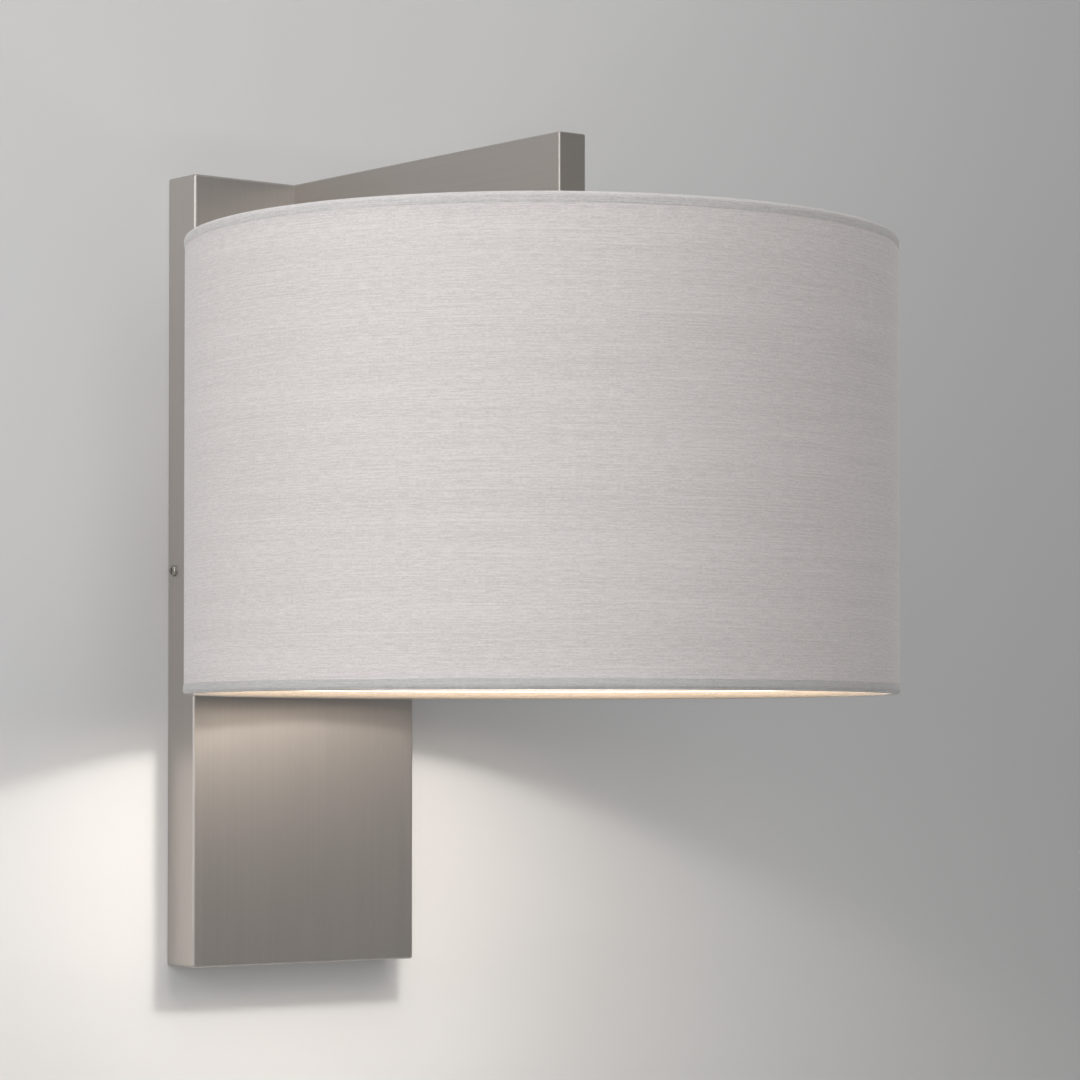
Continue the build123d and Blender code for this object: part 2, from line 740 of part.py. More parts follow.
# Each spoke is welded on the fitter's top and against the hoop's inside, which leaves
# a flat under its foot and a shallow hollow in its end
with BuildPart() as shade_spokes:
    for spoke in range(spoke_count):
        turn = radians(spoke_first_angle + spoke * 360 / spoke_count)
        spoke_plane = Plane(
            origin=(0, -lamp_reach, 0),
            x_dir=(cos(turn), sin(turn), 0),
            z_dir=(sin(turn), -cos(turn), 0),
        )
        with BuildLine(spoke_plane) as spoke_path:
            FilletPolyline(
                (skirt_radius + 2 * spoke_wire_radius, spoke_foot_level),
                (spoke_foot_radius, spoke_foot_level),
                (spoke_elbow, top_hoop_level),
                (spoke_reach, top_hoop_level),
                radius=spoke_bend_radius,
            )
        with BuildSketch(Plane(origin=spoke_path.line @ 0, z_dir=spoke_path.line % 0)):
            Circle(spoke_wire_radius)
        sweep(path=spoke_path.line)
    with BuildSketch(level(shoulder_level)):
        Circle(fitter_radius)
    extrude(amount=-spoke_wire_radius, mode=Mode.SUBTRACT)
    with BuildSketch(level(shoulder_level)):
        Circle(holder_radius + shade_ring_clearance)
    extrude(amount=2 * spoke_wire_radius, mode=Mode.SUBTRACT)
    with BuildSketch(lamp_section):
        with Locations((hoop_radius, top_hoop_level)):
            Circle(hoop_wire_radius)
    revolve(axis=lamp_axis, mode=Mode.SUBTRACT)
keep(shade_spokes, "shade_spokes")

with BuildPart() as shade_top_hoop:
    with BuildSketch(lamp_section):
        with Locations((hoop_radius, top_hoop_level)):
            Circle(hoop_wire_radius)
    revolve(axis=lamp_axis)
keep(shade_top_hoop, "shade_top_hoop")

with BuildPart() as shade_bottom_hoop:
    with BuildSketch(lamp_section):
        with Locations((hoop_radius, bottom_hoop_level)):
            Circle(hoop_wire_radius)
    revolve(axis=lamp_axis)
keep(shade_bottom_hoop, "shade_bottom_hoop")

sheet_margin = hem_thickness + glue_line
sheet_low = shade_bottom + sheet_margin
sheet_height = shade_height - 2 * sheet_margin

with BuildPart() as shade_fabric:
    with BuildSketch(level(sheet_low)):
        Circle(fabric_radius)
        Circle(fabric_radius - fabric_thickness, mode=Mode.SUBTRACT)
    extrude(amount=sheet_height)
keep(shade_fabric, "shade_fabric")

with BuildPart() as shade_lining:
    with BuildSketch(level(sheet_low)):
        Circle(lining_radius)
        Circle(lining_inner_radius, mode=Mode.SUBTRACT)
    extrude(amount=sheet_height)
keep(shade_lining, "shade_lining")

# Where the lining's ends lap, an upright band stands inside the shade
seam_outer_radius = lining_inner_radius - glue_line
seam_half_angle = degrees(seam_width / 2 / seam_outer_radius)
seam_low = shade_bottom + hem_tuck + free_clearance
with BuildPart() as shade_seam:
    with BuildSketch(level(seam_low)):
        with BuildLine():
            CenterArc((0, 0), seam_outer_radius, seam_angle - seam_half_angle, 2 * seam_half_angle)
            CenterArc(
                (0, 0),
                seam_outer_radius - seam_thickness,
                seam_angle - seam_half_angle,
                2 * seam_half_angle,
            )
            for edge_angle in (seam_angle - seam_half_angle, seam_angle + seam_half_angle):
                ray = (cos(radians(edge_angle)), sin(radians(edge_angle)))
                Line(
                    (ray[0] * seam_outer_radius, ray[1] * seam_outer_radius),
                    (
                        ray[0] * (seam_outer_radius - seam_thickness),
                        ray[1] * (seam_outer_radius - seam_thickness),
                    ),
                )
        make_face()
    extrude(amount=shade_height - 2 * hem_tuck - 2 * free_clearance)
keep(shade_seam, "shade_seam")

# Hems: strips of the fabric rolled over each hoop and tucked against the lining
wrap_radius = hoop_wire_radius + glue_line
tuck_radius = lining_inner_radius - glue_line
wrap_sides = 8
notch_radius = spoke_wire_radius + hole_clearance


def wrap_corner(radius, number):
    """Radius and depth under the rim of a corner of the eight-sided wrap about the hoop's wire."""
    turn = 2 * pi * (number + 0.5) / wrap_sides
    corner = radius / cos(pi / wrap_sides)
    return (hoop_radius + corner * cos(turn), hoop_inset - corner * sin(turn))


def hem_outline(edge, inward):
    """Section of a rolled hem; edge is the rim's height, inward is -1 at the top rim."""
    skin = wrap_radius + hem_thickness
    under_skin = wrap_corner(skin, 4)
    under_wire = wrap_corner(wrap_radius, 4)
    outer = [
        (shade_radius, hem_height),
        (shade_radius, hem_thickness),
        (shade_radius - hem_thickness, 0),
        wrap_corner(skin, 2),
        wrap_corner(skin, 3),
        under_skin,
        (tuck_radius - hem_thickness, under_skin[1] + tuck_radius - hem_thickness - under_skin[0]),
        (tuck_radius - hem_thickness, hem_tuck),
    ]
    inner = [
        (tuck_radius, hem_tuck),
        (tuck_radius, under_wire[1] + tuck_radius - under_wire[0]),
        under_wire,
        wrap_corner(wrap_radius, 3),
        wrap_corner(wrap_radius, 2),
        (shade_radius - hem_thickness, hem_thickness),
        (shade_radius - hem_thickness, hem_height),
    ]
    return [(radius, edge + inward * depth) for radius, depth in outer + inner]


with BuildPart() as shade_hem_top:
    with BuildSketch(lamp_section):
        with BuildLine():
            Polyline(*hem_outline(shade_top, -1), close=True)
        make_face()
    revolve(axis=lamp_axis)
    with BuildSketch(level(top_hoop_level)):
        for spoke in range(spoke_count):
            turn = spoke_first_angle + spoke * 360 / spoke_count
            with Locations(Location((0, 0), turn)):
                with Locations((hoop_radius - wrap_radius - hem_thickness, 0)):
                    Rectangle(2 * hoop_wire_radius, 2 * notch_radius)
    extrude(amount=notch_radius, both=True, mode=Mode.SUBTRACT)
keep(shade_hem_top, "shade_hem_top")

with BuildPart() as shade_hem_bottom:
    with BuildSketch(lamp_section):
        with BuildLine():
            Polyline(*hem_outline(shade_bottom, 1), close=True)
        make_face()
    revolve(axis=lamp_axis)
keep(shade_hem_bottom, "shade_hem_bottom")

# ---------------------------------------------------------------- lamp

lamp_shoulder_radius = lamp_cap_radius * 0.8
with BuildPart() as lamp_cap_shell:
    with BuildSketch(lamp_section):
        with BuildLine():
            Polyline(
                (lamp_cap_radius, lamp_cap_bottom),
                (lamp_cap_radius, lamp_cap_top - lamp_insulator_height),
                (lamp_shoulder_radius, lamp_cap_top),
                (lamp_shoulder_radius - lamp_cap_sheet, lamp_cap_top - lamp_cap_sheet),
                (lamp_cap_radius - lamp_cap_sheet, lamp_cap_top - lamp_insulator_height - lamp_cap_sheet),
                (lamp_cap_radius - lamp_cap_sheet, lamp_cap_bottom),
                close=True,
            )
        make_face()
    revolve(axis=lamp_axis)
keep(lamp_cap_shell, "lamp_cap_shell")

with BuildPart() as lamp_cap_insulator:
    with BuildSketch(lamp_section):
        with BuildLine():
            Polyline(
                (0, lamp_cap_top),
                (lamp_shoulder_radius - lamp_cap_sheet, lamp_cap_top),
                (lamp_contact_radius, lamp_cap_top + lamp_insulator_height),
                (0, lamp_cap_top + lamp_insulator_height),
                close=True,
            )
        make_face()
    revolve(axis=lamp_axis)
keep(lamp_cap_insulator, "lamp_cap_insulator")

with BuildPart() as lamp_centre_contact:
    with BuildSketch(level(lamp_tip_level - lamp_contact_height)):
        Circle(lamp_contact_radius)
    extrude(amount=lamp_contact_height)
    fillet(lamp_centre_contact.faces().sort_by(Axis.Z)[-1].edges(), lamp_contact_height / 2)
keep(lamp_centre_contact, "lamp_centre_contact")

# The collar flares from the cap to the globe in one easy curve
collar_edge_radius = globe_neck_radius + free_clearance + collar_wall / 2
collar_flare = collar_edge_radius - collar_top_radius
collar_waist = (collar_top_radius + collar_waist_share * collar_flare, lamp_cap_bottom - collar_depth / 2)
with BuildPart() as lamp_collar:
    with BuildSketch(lamp_section):
        with BuildLine():
            ThreePointArc(
                (collar_top_radius, lamp_cap_bottom), collar_waist, (collar_edge_radius, collar_bottom)
            )
            Line(
                (collar_edge_radius, collar_bottom), (collar_edge_radius - collar_wall, collar_bottom)
            )
            ThreePointArc(
                (collar_edge_radius - collar_wall, collar_bottom),
                (collar_waist[0] - collar_wall, collar_waist[1]),
                (collar_top_radius - collar_wall, lamp_cap_bottom - collar_wall),
            )
            Polyline(
                (collar_top_radius - collar_wall, lamp_cap_bottom - collar_wall),
                (0, lamp_cap_bottom - collar_wall),
                (0, lamp_cap_bottom),
                (collar_top_radius, lamp_cap_bottom),
            )
        make_face()
    revolve(axis=lamp_axis)
keep(lamp_collar, "lamp_collar")

# Opal globe, cut open where it seats on the collar
with BuildPart() as lamp_globe:
    with BuildSketch(lamp_section):
        with Locations((0, globe_level)):
            Circle(lamp_radius)
            Circle(lamp_radius - globe_wall, mode=Mode.SUBTRACT)
            with Locations((-lamp_radius, 0)):
                Rectangle(2 * lamp_radius, 2 * lamp_radius, mode=Mode.SUBTRACT)
            with Locations((0, collar_bottom - globe_level + lamp_radius)):
                Rectangle(2 * lamp_radius, 2 * lamp_radius, mode=Mode.SUBTRACT)
    revolve(axis=lamp_axis)
keep(lamp_globe, "lamp_globe")

led_board_level = collar_bottom + collar_wall
led_board_radius = collar_edge_radius - collar_wall - led_board_margin
with BuildPart() as lamp_led_board:
    with BuildSketch(level(led_board_level)):
        Circle(led_board_radius)
    extrude(amount=led_board_thickness)
    with BuildSketch(level(led_board_level)):
        with PolarLocations(led_ring_radius, led_count):
            Rectangle(led_size, led_size)
    extrude(amount=-led_height)
keep(lamp_led_board, "lamp_led_board")

# ---------------------------------------------------------------- leads

lead_depth = tunnel_depth
block_top = terminal_height + block_height / 2
lead_bite = block_height / 2 - clamp_screw_spacing / 4


def lead_section_volume(path_length):
    return pi * lead_radius**2 * path_length


def check_lead(name, piece, path, corner_radii):
    """Prints a lead's length, its bends and how its volume compares with its section."""
    share = piece.part.volume / lead_section_volume(path.length)
    bends = ", ".join(f"{radius:.1f}" for radius in corner_radii)
    print(f"{name}: length {path.length:.1f} mm, volume share {share:.4f}, bends {bends}")


def bend_radii(points, largest):
    """Each corner's radius: 0.45 of its shorter run over the tangent of half the turn."""
    radii = []
    for before, corner, after in zip(points, points[1:], points[2:]):
        run_in = Vector(*corner) - Vector(*before)
        run_out = Vector(*after) - Vector(*corner)
        half_turn = radians(run_in.get_angle(run_out)) / 2
        radii.append(min(largest, 0.45 * min(run_in.length, run_out.length) / tan(half_turn)))
    return radii


def phase_lead_points(pole_x, side):
    """From a terminal pole up the back plate, along the arm and down the stem.

    Heights go by shares of the rise to the arm, and places in the arm by shares of its run.
    """
    x = side * lead_pair_offset
    terminal_x = side * holder_terminal_spread
    rise = arm_middle - block_top
    run = lamp_reach - plate_depth
    half_inside = arm_inside_height / 2
    return [
        (pole_x, -lead_depth, block_top - lead_bite),
        (pole_x, -lead_depth - 0.25 * lead_sway, block_top + 0.09 * rise),
        (x * 1.3, -lead_depth - lead_sway, block_top + 0.34 * rise),
        (x, -lead_depth - 0.25 * lead_sway, block_top + 0.64 * rise),
        (x, -lead_depth - 0.75 * lead_sway, arm_middle),
        (x, -plate_depth - 0.11 * run, arm_middle),
        (x * 1.1, -plate_depth - 0.39 * run, arm_middle - 0.22 * half_inside),
        (x, -plate_depth - 0.7 * run, arm_middle + 0.38 * half_inside),
        (x, -lamp_reach, arm_middle + 0.6 * half_inside),
        (x * 0.95, -lamp_reach, stem_top - stem_thread_block_height),
        (x * 0.95, -lamp_reach, stem_bottom - lead_radius),
        (terminal_x, -lamp_reach, terminal_top + holder_terminal_height),
        (terminal_x, -lamp_reach, terminal_top - terminal_lead_depth),
    ]


longest_radius = 60.0
live_points = phase_lead_points(pole_pitch, 1)
neutral_points = phase_lead_points(0, -1)

with BuildPart() as live_lead:
    with BuildLine() as live_path:
        FilletPolyline(*live_points, radius=bend_radii(live_points, longest_radius))
    with BuildSketch(Plane(origin=live_path.line @ 0, z_dir=live_path.line % 0)):
        Circle(lead_radius)
    sweep(path=live_path.line)
keep(live_lead, "live_lead")
check_lead("live_lead", live_lead, live_path.wires()[0], bend_radii(live_points, longest_radius))

with BuildPart() as neutral_lead:
    with BuildLine() as neutral_path:
        FilletPolyline(*neutral_points, radius=bend_radii(neutral_points, longest_radius))
    with BuildSketch(Plane(origin=neutral_path.line @ 0, z_dir=neutral_path.line % 0)):
        Circle(lead_radius)
    sweep(path=neutral_path.line)
keep(neutral_lead, "neutral_lead")
check_lead(
    "neutral_lead", neutral_lead, neutral_path.wires()[0], bend_radii(neutral_points, longest_radius)
)

# ---------------------------------------------------------------- earth connections

tag_barrel_radius = lead_radius + earth_tag_thickness
tag_tongue_half = tag_barrel_radius * 0.7

# One stud stands on the bracket, the other on the arm's mounting plate
with BuildPart() as earth_studs:
    with BuildSketch(Plane.XZ):
        with Locations((bracket_earth_x, bracket_earth_z)):
            Circle(earth_stud_radius)
    extrude(amount=earth_stud_length)
    with BuildSketch(off_wall(plate_inside_depth)):
        with Locations((plate_earth_x, arm_middle)):
            Circle(earth_stud_radius)
    extrude(amount=-earth_stud_length)
keep(earth_studs, "earth_studs")

nut_face = bracket_sheet + 2 * earth_tag_thickness + 2 * fit_clearance
plate_nut_face = arm_plate_back - earth_tag_thickness - fit_clearance
with BuildPart() as earth_nuts:
    with BuildSketch(off_wall(nut_face)):
        with Locations((bracket_earth_x, bracket_earth_z)):
            RegularPolygon(earth_nut_width / 2, 6, major_radius=False)
            Circle(earth_stud_radius + fit_clearance, mode=Mode.SUBTRACT)
    extrude(amount=earth_nut_height)
    with BuildSketch(off_wall(plate_nut_face)):
        with Locations((plate_earth_x, arm_middle)):
            RegularPolygon(earth_nut_width / 2, 6, major_radius=False)
            Circle(earth_stud_radius + fit_clearance, mode=Mode.SUBTRACT)
    extrude(amount=-earth_nut_height)
keep(earth_nuts, "earth_nuts")


def tag_plane(stud_x, stud_z, depth, turn):
    """Plane of a ring tag's flat; its barrel lies along the plane's own X."""
    return Plane(
        origin=(stud_x, -depth, stud_z),
        x_dir=(cos(radians(turn)), 0, sin(radians(turn))),
        z_dir=(0, -1, 0),
    )


earth_lead_turn = -55.0
link_bracket_turn = 75.0
link_plate_turn = -100.0
barrel_start = 2 * earth_tag_radius - earth_tag_thickness
barrel_end = barrel_start + earth_tag_barrel_length
bracket_tag = tag_plane(bracket_earth_x, bracket_earth_z, bracket_sheet, earth_lead_turn)
link_bracket_tag = tag_plane(
    bracket_earth_x,
    bracket_earth_z,
    bracket_sheet + earth_tag_thickness + fit_clearance,
    link_bracket_turn,
)
link_plate_tag = tag_plane(
    plate_earth_x, arm_middle, arm_plate_back - earth_tag_thickness, link_plate_turn
)
room_lift = tag_barrel_radius
wall_lift = earth_tag_thickness - tag_barrel_radius

# A ring tag has an eye on the stud and a barrel crimped on the lead
with BuildPart() as earth_tags:
    for flat, lift in (
        (bracket_tag, room_lift),
        (link_bracket_tag, room_lift),
        (link_plate_tag, wall_lift),
    ):
        with BuildSketch(flat):
            Circle(earth_tag_radius)
            with Locations((earth_tag_radius, 0)):
                Rectangle(2 * earth_tag_radius, 2 * tag_tongue_half)
            Circle(earth_stud_radius + hole_clearance, mode=Mode.SUBTRACT)
        extrude(amount=earth_tag_thickness)
        mouth = Plane(
            origin=flat.from_local_coords(Vector(barrel_start, 0, lift)), z_dir=flat.x_dir
        )
        with BuildSketch(mouth):
            Circle(tag_barrel_radius)
        extrude(amount=earth_tag_barrel_length)
        with BuildSketch(mouth):
            Circle(lead_radius + fit_clearance)
        extrude(amount=earth_tag_barrel_length, mode=Mode.SUBTRACT)
keep(earth_tags, "earth_tags")


def on_barrel(flat, lift, distance):
    """A point on the axis of a tag's barrel, this far from the stud."""
    return tuple(flat.from_local_coords(Vector(distance, 0, lift)))


earth_points = [
    on_barrel(bracket_tag, room_lift, barrel_start + crimp_inset),
    on_barrel(bracket_tag, room_lift, barrel_end + lead_straight),
    (-pole_pitch, -lead_depth, block_top + lead_straight),
    (-pole_pitch, -lead_depth, block_top - lead_bite),
]
link_rise = arm_middle - bracket_earth_z
link_shift = plate_earth_x - bracket_earth_x
link_depth = plate_inside_depth - lead_depth
link_points = [
    on_barrel(link_bracket_tag, room_lift, barrel_start + crimp_inset),
    on_barrel(link_bracket_tag, room_lift, barrel_end + lead_straight),
    (
        bracket_earth_x + 0.4 * link_shift,
        -lead_depth - 0.2 * link_depth,
        bracket_earth_z + 0.4 * link_rise,
    ),
    (plate_earth_x, -lead_depth - 0.5 * link_depth, bracket_earth_z + 0.68 * link_rise),
    on_barrel(link_plate_tag, wall_lift, barrel_end + lead_straight),
    on_barrel(link_plate_tag, wall_lift, barrel_start + crimp_inset),
]

with BuildPart() as earth_lead:
    with BuildLine() as earth_path:
        FilletPolyline(*earth_points, radius=bend_radii(earth_points, longest_radius))
    with BuildSketch(Plane(origin=earth_path.line @ 0, z_dir=earth_path.line % 0)):
        Circle(lead_radius)
    sweep(path=earth_path.line)
keep(earth_lead, "earth_lead")
check_lead("earth_lead", earth_lead, earth_path.wires()[0], bend_radii(earth_points, longest_radius))

with BuildPart() as earth_link:
    with BuildLine() as link_path:
        FilletPolyline(*link_points, radius=bend_radii(link_points, longest_radius))
    with BuildSketch(Plane(origin=link_path.line @ 0, z_dir=link_path.line % 0)):
        Circle(lead_radius)
    sweep(path=link_path.line)
keep(earth_link, "earth_link")
check_lead("earth_link", earth_link, link_path.wires()[0], bend_radii(link_points, longest_radius))
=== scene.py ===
from math import atan2, cos, pi, radians, sin, sqrt

import bmesh
import bpy
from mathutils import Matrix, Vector


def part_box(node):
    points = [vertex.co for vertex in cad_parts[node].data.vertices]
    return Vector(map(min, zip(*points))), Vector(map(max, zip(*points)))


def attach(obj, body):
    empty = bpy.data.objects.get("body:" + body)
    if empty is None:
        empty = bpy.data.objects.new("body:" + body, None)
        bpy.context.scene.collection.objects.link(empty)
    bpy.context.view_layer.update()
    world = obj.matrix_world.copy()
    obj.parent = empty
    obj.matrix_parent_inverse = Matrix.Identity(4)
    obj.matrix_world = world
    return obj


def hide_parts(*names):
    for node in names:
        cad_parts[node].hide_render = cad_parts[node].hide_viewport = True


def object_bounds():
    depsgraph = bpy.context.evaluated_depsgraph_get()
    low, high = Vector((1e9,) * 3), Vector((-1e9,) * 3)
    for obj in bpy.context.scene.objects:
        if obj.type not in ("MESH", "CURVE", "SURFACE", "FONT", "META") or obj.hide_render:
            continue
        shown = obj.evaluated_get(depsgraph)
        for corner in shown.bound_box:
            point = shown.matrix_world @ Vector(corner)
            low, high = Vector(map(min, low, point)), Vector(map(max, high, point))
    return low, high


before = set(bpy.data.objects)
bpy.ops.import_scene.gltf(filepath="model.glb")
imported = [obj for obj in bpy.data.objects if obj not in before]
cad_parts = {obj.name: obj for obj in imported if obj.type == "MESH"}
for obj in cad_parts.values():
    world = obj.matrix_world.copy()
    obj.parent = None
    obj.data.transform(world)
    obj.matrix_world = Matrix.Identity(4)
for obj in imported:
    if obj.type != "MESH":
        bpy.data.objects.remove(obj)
cad_low, cad_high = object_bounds()

# ---------------------------------------------------------------- room and camera
# A painted wall with the light fixed to it, and a floor far below. Both are only stage.
# The wall is solid when it is seen from the room, and open to a look from behind it.
room_paint = (0.745, 0.745, 0.745)
room_paint_shaded = (0.59, 0.59, 0.59)
paint_roughness = 0.9
paint_gloss = 0.2
wall_gap = 0.0004
wall_half_width = 3.0
wall_rise = 1.6
opening_inset = 0.0015
floor_drop = 1.5
floor_white = (0.9, 0.9, 0.9)
floor_depth = 4.0
studio_white = (1.0, 1.0, 1.0)

# Painted shade: the paint darkens between these two distances to the right of the light, as the
# wall there gets less light
fade_from = 0.1
fade_to = 0.6

# A mirror that lies nearer to the wall than this, such as the plate's rim, sees through it
mirror_reach = 0.001

# Most of a noise pattern lies between these two values
noise_low = 0.3
noise_high = 0.7
noise_detail = 2.0


def new_object(name, data):
    """An object of the scene for a mesh, a lamp or a camera."""
    made = bpy.data.objects.new(name, data)
    bpy.context.scene.collection.objects.link(made)
    return made


def new_material(name):
    """A material, its shader and its node tree."""
    material = bpy.data.materials.new(name)
    material.use_nodes = True
    tree = material.node_tree
    return material, tree.nodes["Principled BSDF"], tree


def feed(tree, socket, value):
    """Gives a socket another node's result or a plain value."""
    if isinstance(value, bpy.types.NodeSocket):
        tree.links.new(value, socket)
    else:
        socket.default_value = value


def object_place(tree):
    """Where each point of a piece lies, in metres."""
    return tree.nodes.new("ShaderNodeTexCoord").outputs["Object"]


def one_axis(tree, place, axis):
    """A place's distance along one axis."""
    parts = tree.nodes.new("ShaderNodeSeparateXYZ")
    tree.links.new(place, parts.inputs["Vector"])
    return parts.outputs[axis]


def math_node(tree, operation, first, second):
    """The result of a Math node on other nodes' results or plain numbers."""
    node = tree.nodes.new("ShaderNodeMath")
    node.operation = operation
    feed(tree, node.inputs[0], first)
    feed(tree, node.inputs[1], second)
    return node.outputs[0]


def range_node(tree, value, low, high, from_low=noise_low, from_high=noise_high):
    """Noise's middle range, or another, spread smoothly from low to high."""
    spread = tree.nodes.new("ShaderNodeMapRange")
    spread.interpolation_type = "SMOOTHSTEP"
    spread.inputs["From Min"].default_value = from_low
    spread.inputs["From Max"].default_value = from_high
    spread.inputs["To Min"].default_value = low
    spread.inputs["To Max"].default_value = high
    tree.links.new(value, spread.inputs["Value"])
    return spread.outputs["Result"]


def colour_mix(tree, amount, first, second):
    """A colour that goes from first to second as amount goes from 0 to 1."""
    mix = tree.nodes.new("ShaderNodeMix")
    mix.data_type = "RGBA"
    tree.links.new(amount, mix.inputs["Factor"])
    for socket, colour in ((mix.inputs["A"], first), (mix.inputs["B"], second)):
        feed(tree, socket, colour if isinstance(colour, bpy.types.NodeSocket) else (*colour, 1))
    return mix.outputs["Result"]


def room_material(name, colour, shaded):
    """Paint that a camera and mirrors see from its front side, and that stops no other light.

    It darkens from colour to shaded towards the room's right side: painted shade, for the wall
    getting less light there.
    """
    material, shader, tree = new_material(name)
    across = one_axis(tree, object_place(tree), "X")
    # Painted shade: the paint turns to the shaded colour towards the right
    fade = range_node(tree, across, 0.0, 1.0, fade_from, fade_to)
    tree.links.new(colour_mix(tree, fade, colour, shaded), shader.inputs["Base Color"])
    shader.inputs["Roughness"].default_value = paint_roughness
    shader.inputs["Specular IOR Level"].default_value = paint_gloss
    path = tree.nodes.new("ShaderNodeLightPath")
    side = tree.nodes.new("ShaderNodeNewGeometry")
    mirrored = math_node(
        tree, "MAXIMUM", path.outputs["Is Glossy Ray"], path.outputs["Is Transmission Ray"]
    )
    far = math_node(tree, "GREATER_THAN", path.outputs["Ray Length"], mirror_reach)
    far_mirrored = math_node(tree, "MULTIPLY", mirrored, far)
    seen = math_node(tree, "MAXIMUM", path.outputs["Is Camera Ray"], far_mirrored)
    front = math_node(tree, "SUBTRACT", 1.0, side.outputs["Backfacing"])
    clear = tree.nodes.new("ShaderNodeBsdfTransparent")
    mix = tree.nodes.new("ShaderNodeMixShader")
    tree.links.new(math_node(tree, "MULTIPLY", seen, front), mix.inputs["Fac"])
    tree.links.new(clear.outputs[0], mix.inputs[1])
    tree.links.new(shader.outputs[0], mix.inputs[2])
    tree.links.new(mix.outputs[0], tree.nodes["Material Output"].inputs["Surface"])
    return material


def stage_sheet(name, corners, material, opening=None):
    """A flat sheet of the stage; its corners run anticlockwise as seen from its front.

    An opening is a box's two corners: the sheet is left out behind that box, just inside its rim.
    """
    bm = bmesh.new()
    bm.faces.new([bm.verts.new(corner) for corner in corners])
    if opening:
        low, high = opening
        inset = Vector((opening_inset, 0.0, opening_inset))
        for corner, way in ((low + inset, -1), (high - inset, 1)):
            for side in ((way, 0, 0), (0, 0, way)):
                geometry = bm.verts[:] + bm.edges[:] + bm.faces[:]
                bmesh.ops.bisect_plane(bm, geom=geometry, plane_co=corner, plane_no=side)
        middle = (low + high) / 2
        covered = min(
            bm.faces, key=lambda face: (face.calc_center_median().xz - middle.xz).length
        )
        bmesh.ops.delete(bm, geom=[covered], context="FACES_ONLY")
    mesh = bpy.data.meshes.new(name)
    bm.to_mesh(mesh)
    bm.free()
    mesh.materials.append(material)
    new_object(name, mesh)


wall_foot = cad_low.z - floor_drop
stage_sheet(
    "room_wall",
    [
        (-wall_half_width, wall_gap, wall_foot),
        (wall_half_width, wall_gap, wall_foot),
        (wall_half_width, wall_gap, wall_rise),
        (-wall_half_width, wall_gap, wall_rise),
    ],
    room_material("wall_paint", room_paint, room_paint_shaded),
    opening=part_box("back_plate"),
)
stage_sheet(
    "room_floor",
    [
        (-wall_half_width, -floor_depth, wall_foot),
        (wall_half_width, -floor_depth, wall_foot),
        (wall_half_width, floor_depth, wall_foot),
        (-wall_half_width, floor_depth, wall_foot),
    ],
    room_material("floor_paint", floor_white, floor_white),
)

# The room gives off an even light, dimmer round one way: right, out of the wall and down.
# How near a way is to that one is the cosine of the angle between them.
room_level = 0.38
dim_level = 0.22
dim_way = (0.60, -0.72, -0.35)
dim_from = 0.7
dim_full = 0.98
world = bpy.data.worlds.new("soft_room")
bpy.context.scene.world = world
world.use_nodes = True
sky_tree = world.node_tree
sky_way = sky_tree.nodes.new("ShaderNodeTexCoord")
towards_dim = sky_tree.nodes.new("ShaderNodeVectorMath")
towards_dim.operation = "DOT_PRODUCT"
towards_dim.inputs[1].default_value = dim_way
sky_tree.links.new(sky_way.outputs["Generated"], towards_dim.inputs[0])
sky_level = range_node(
    sky_tree, towards_dim.outputs["Value"], room_level, dim_level, dim_from, dim_full
)
sky = sky_tree.nodes["Background"]
sky.inputs["Color"].default_value = (*studio_white, 1)
sky_tree.links.new(sky_level, sky.inputs["Strength"])


def new_light(name, kind, place, power, colour):
    """A light at a place; its size is set on its data."""
    light = bpy.data.lights.new(name, kind)
    light.energy = power
    light.color = colour
    holder = new_object(name, light)
    holder.location = place
    return holder


# Large square lamps of the studio, all turned to one point: place, width and watts
light_aim = Vector((0.0, -0.15, 0.03))
for name, place, width, power in (
    ("left_window", (-1.75, -0.4, 0.5), 1.2, 13.5),
    ("room_light", (-1.4, -2.5, 0.6), 1.4, 9.5),
    ("ceiling_light", (-0.3, -0.7, 1.5), 0.8, 8.5),
    ("floor_bounce", (-0.9, -1.2, -1.35), 1.2, 1.5),
):
    soft_light = new_light(name, "AREA", place, power, studio_white)
    soft_light.data.size = width
    soft_light.rotation_euler = (light_aim - Vector(place)).to_track_quat("-Z", "Y").to_euler()
    soft_light.visible_camera = False

# The photograph's viewpoint: left of the light and a little below it, looking a little up
camera_place = (-1.055, -1.5205, -0.0854)
camera_turn = 0.6755
camera_rise = 0.0269
camera_sensor = 36.0
camera_lens = 125.54
camera_shift = 0.1
look = Vector(
    (sin(camera_turn) * cos(camera_rise), cos(camera_turn) * cos(camera_rise), sin(camera_rise))
)
camera_data = bpy.data.cameras.new("viewpoint")
camera_data.sensor_width = camera_sensor
camera_data.lens = camera_lens
camera_data.shift_y = camera_shift
camera = new_object("viewpoint", camera_data)
camera.location = camera_place
camera.rotation_euler = look.to_track_quat("-Z", "Y").to_euler()
bpy.context.scene.camera = camera
bpy.context.scene.view_settings.view_transform = "Standard"

# ---------------------------------------------------------------- back plate, arm and sleeve
# Steel sheet, linished and nickel plated to a satin finish. The belt's fine grain runs up
# the back plate and along the arm; the arm is screwed to the plate from behind.
nickel_colour = (0.485, 0.455, 0.43)
upright_roughness = 0.41
along_roughness = 0.38

# The grain's streaks: how many to the metre across them and along them, and what they change
grain_fine = 1100.0
grain_long = 9.0
grain_detail = 3.0
grain_tone_change = 0.022
grain_gloss_change = 0.02
grain_gloss_span = (0.2, 0.8)
grain_relief = 0.000006

# The gloss is drawn out across the grain: how strongly, and turned by which part of a turn
gloss_stretch = 0.5
gloss_turn_upright = 0.0
gloss_turn_along = 0.25

# All reliefs share one strength, so each one's depth says how marked it is
relief_strength = 0.5


